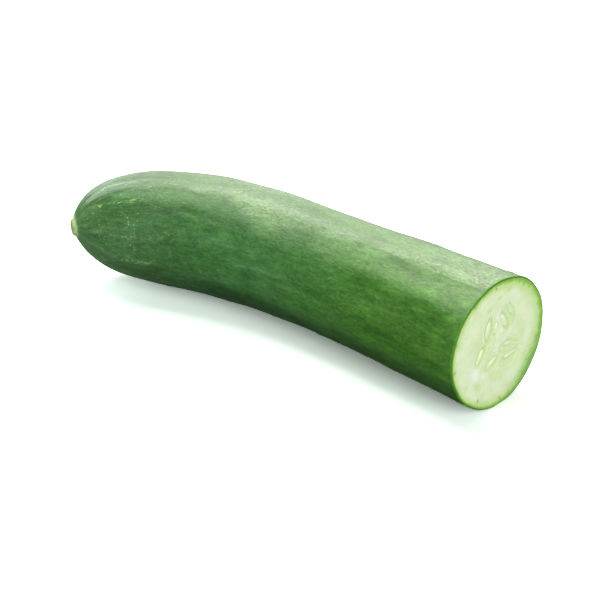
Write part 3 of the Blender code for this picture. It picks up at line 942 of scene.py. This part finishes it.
scarLook = {
    "rings": 30,
    "height": 0.0013, "step": (1.0, 0.7), "dimple": 0.0007, "dimpleReach": 0.45,
    "roughDepth": 0.00012, "net": (24, 6, 21), "lobes": 5, "lobeHeight": 0.05, "lobeAt": -0.08,
    "scarDryAndSkinSheen": (0.24, 0.19, 0.08), "green": (0.26, 0.34, 0.12),
    "patches": (900, 4.0), "patchSpan": (0.35, 0.65), "foot": (0.45, 0.0),
    "roughness": 0.75, "specular": 0.2, "grainScale": 1600, "grainContrast": 0.8, "relief": 0.6,
}


def makeScar():
    # from its foot on the skin up to a low ring, and down into a dimple
    s = scarLook
    radius, height = skinProfile()
    inwardSteps = np.linspace(1, 0, s["rings"], endpoint=False)
    angle, inward = ringGrid(inwardSteps, skinLook["around"], -tau)
    step = ease(*s["step"], inward)
    rough = s["roughDepth"] * softNoise(np.mod(angle / tau, 1), 1 - inward, *s["net"])
    rise = s["height"] * step - s["dimple"] * bell(inward, 0, s["dimpleReach"]) + rough * step
    lobes = 1 + s["lobeHeight"] * np.cos(s["lobes"] * (angle - s["lobeAt"])) * step
    ringRadius = radius[-1] * inward * lobes
    rings = bent(ringRadius * np.cos(angle), ringRadius * np.sin(angle), height[-1] + rise)
    pole = toPlace(rings[-1:].mean(axis=1, keepdims=True))[0, 0]
    return ringMesh("blossomScar", toPlace(rings), {"inward": 1 - inward}, lastPole=pole)


def scarMaterial():
    s = scarLook
    material, tree, shader = newMaterial("dryScar", s)
    place = objectPlace(tree)
    patches = ranged(tree, noise(tree, place, *s["patches"]), *s["patchSpan"])
    colour = mixed(tree, patches, s["scarDryAndSkinSheen"], s["green"])
    colour = laid(tree, colour, skinLook["pointGreen"], ranged(tree, attribute(tree, "inward"), *s["foot"]))
    raised(tree, shader, grained(tree, shader, colour, place, s), s["relief"])
    return material


# Studio

studio = {
    "aim": (-0.0059, 0.0194, -0.0003),
    "azimuth": 28.7, "elevation": 30.06, "distance": 0.5134,
    "lens": 78, "sensor": 36, "nearest": 0.01,
    "floorSize": 1.7, "floorDrop": -0.0001,
    "roughness": 0.9, "specular": 0.1,  # of the floor
    # the floor's colour on the body, in the gloss, and as the camera sees it
    "floorColour": (0.08, 0.08, 0.08), "floorMirrored": (0.12, 0.16, 0.14), "floorSeen": (1.32, 1.48, 1.39),
    "worldStrength": 0.15,
}

# where each soft box hangs, how far off, its width and height, its power in watts, its colour,
# and whether it shows in the gloss
softBoxes = {
    "key": ((-0.31, 0.66, 0.68), 1.4, (0.8, 0.34), 13.5, (1, 1, 0.92), True),
    "top": ((-0.4, 0.01, 0.91), 1.4, (0.5, 0.4), 8.0, (1, 1, 0.9), True),
    "back": ((-0.6, 0.4, 0.6), 1.4, (0.7, 0.6), 3.0, (1, 1, 0.9), True),
    "horizon": ((-0.4, 0.88, 0.17), 1.6, (3.2, 0.55), 16.0, (0.975, 1.0, 0.91), True),
    "rim": ((-0.84, 0.48, 0.26), 1.4, (0.8, 0.5), 3.8, (0.9, 0.96, 1.0), True),
    "left": ((-0.8, -0.6, 0.14), 1.4, (0.8, 0.3), 13.5, (1, 1, 1), False),
    "front": ((0.62, -0.5, 0.61), 1.4, (0.8, 0.8), 9.0, (1, 1, 1), False),
    "right": ((0.92, -0.28, 0.2), 1.4, (0.7, 0.6), 8.5, (1, 1, 1), True),
    "low": ((-0.1, -0.96, 0.26), 1.4, (1.0, 0.7), 3.6, (1, 1, 1), False),
}


def makeCamera():
    s = studio
    azimuth, elevation = radians(s["azimuth"]), radians(s["elevation"])
    back = Vector((
        sin(azimuth) * cos(elevation),
        -cos(azimuth) * cos(elevation),
        sin(elevation),
    ))
    data = bpy.data.cameras.new("camera")
    data.lens, data.sensor_width, data.clip_start = s["lens"], s["sensor"], s["nearest"]
    camera = newObject("camera", data)
    camera.location = Vector(s["aim"]) + back * s["distance"]
    camera.rotation_euler = (-back).to_track_quat("-Z", "Y").to_euler()
    bpy.context.scene.camera = camera


def makeLight(name, direction, distance, size, power, colour, glossy):
    # a soft box that faces the middle of the floor
    data = bpy.data.lights.new(name, "AREA")
    data.color = colour
    data.shape, data.size, data.size_y, data.energy = "RECTANGLE", *size, power
    light = newObject(name, data)
    towards = Vector(direction).normalized()
    light.location = towards * distance
    light.visible_glossy = glossy
    light.rotation_euler = towards.to_track_quat("Z", "Y").to_euler()


def changedFor(tree, ray, first, second):
    # the first, and the second for one kind of ray
    kind = addNode(tree, "LightPath").outputs[ray]
    return addNode(tree, "MixShader", {0: kind, 1: first, 2: second}).outputs[0]


def makeFloor():
    s = studio
    half = s["floorSize"] / 2
    corners = [(x * half, y * half, s["floorDrop"]) for x, y in ((-1, -1), (1, -1), (1, 1), (-1, 1))]
    mesh = bpy.data.meshes.new("floor")
    mesh.from_pydata(corners, [], [(0, 1, 2, 3)])
    material, tree, shader = newMaterial("paleFloor", s)
    shader.inputs["Base Color"].default_value = (*s["floorColour"], 1)
    surface = shader.outputs[0]
    for ray, colour in (("Is Glossy Ray", s["floorMirrored"]), ("Is Camera Ray", s["floorSeen"])):
        plain = addNode(tree, "BsdfDiffuse", {"Color": (*colour, 1)})
        surface = changedFor(tree, ray, surface, plain.outputs[0])
    tree.links.new(surface, tree.nodes["Material Output"].inputs["Surface"])
    mesh.materials.append(material)
    newObject("floor", mesh)


def makeWorld():
    # even white, which the camera sees brighter than the body does
    world = bpy.data.worlds.new("world")
    world.use_nodes = True
    tree = world.node_tree
    ambient = tree.nodes["Background"]
    ambient.inputs["Color"].default_value = (1, 1, 1, 1)
    ambient.inputs["Strength"].default_value = studio["worldStrength"]
    white = addNode(tree, "Background", {"Color": (1, 1, 1, 1), "Strength": 1.0})
    both = changedFor(tree, "Is Camera Ray", ambient.outputs[0], white.outputs[0])
    tree.links.new(both, tree.nodes["World Output"].inputs["Surface"])
    bpy.context.scene.world = world
    bpy.context.scene.view_settings.view_transform = "Standard"


def dress(piece, material):
    piece.data.materials.append(material)
    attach(piece, "root")
    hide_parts("cucumber")


def findPlace(around=200):
    # from the straight formulas' own frame to the CAD's: the plain body's box centred on the node's
    radius, height = skinProfile()
    top = float(height[-1]) + scarLook["height"]
    angle = np.linspace(0, tau, around)[None]
    radius, height = radius[:, None], height[:, None] + 0 * angle
    shell = bent(radius * np.cos(angle), radius * np.sin(angle), height)
    points = np.concatenate([shell.reshape(-1, 3), onAxis(top)])
    middle = (points.min(axis=0) + points.max(axis=0)) / 2
    nodeMiddle = (np.array(cucumberBox[0]) + np.array(cucumberBox[1])) / 2
    return np.array([nodeMiddle[0] - middle[0], nodeMiddle[1] - middle[1], 0])


bodyPlace = findPlace()
grainGroup = fineGrain()
makeCamera()
makeFloor()
makeWorld()
for name, settings in softBoxes.items():
    makeLight(name, *settings)
print("studio ready")
dress(makeSkin(), skinMaterial())
print("skin ready")
dress(makeCut(), cutMaterial())
print("cut ready")
seedFinish = seedMaterial()
for number, seed in enumerate(seedLook["seeds"], 1):
    dress(makeSeed(number, seed), seedFinish)
print("seeds ready")
dress(makeScar(), scarMaterial())
print("blossom scar ready")
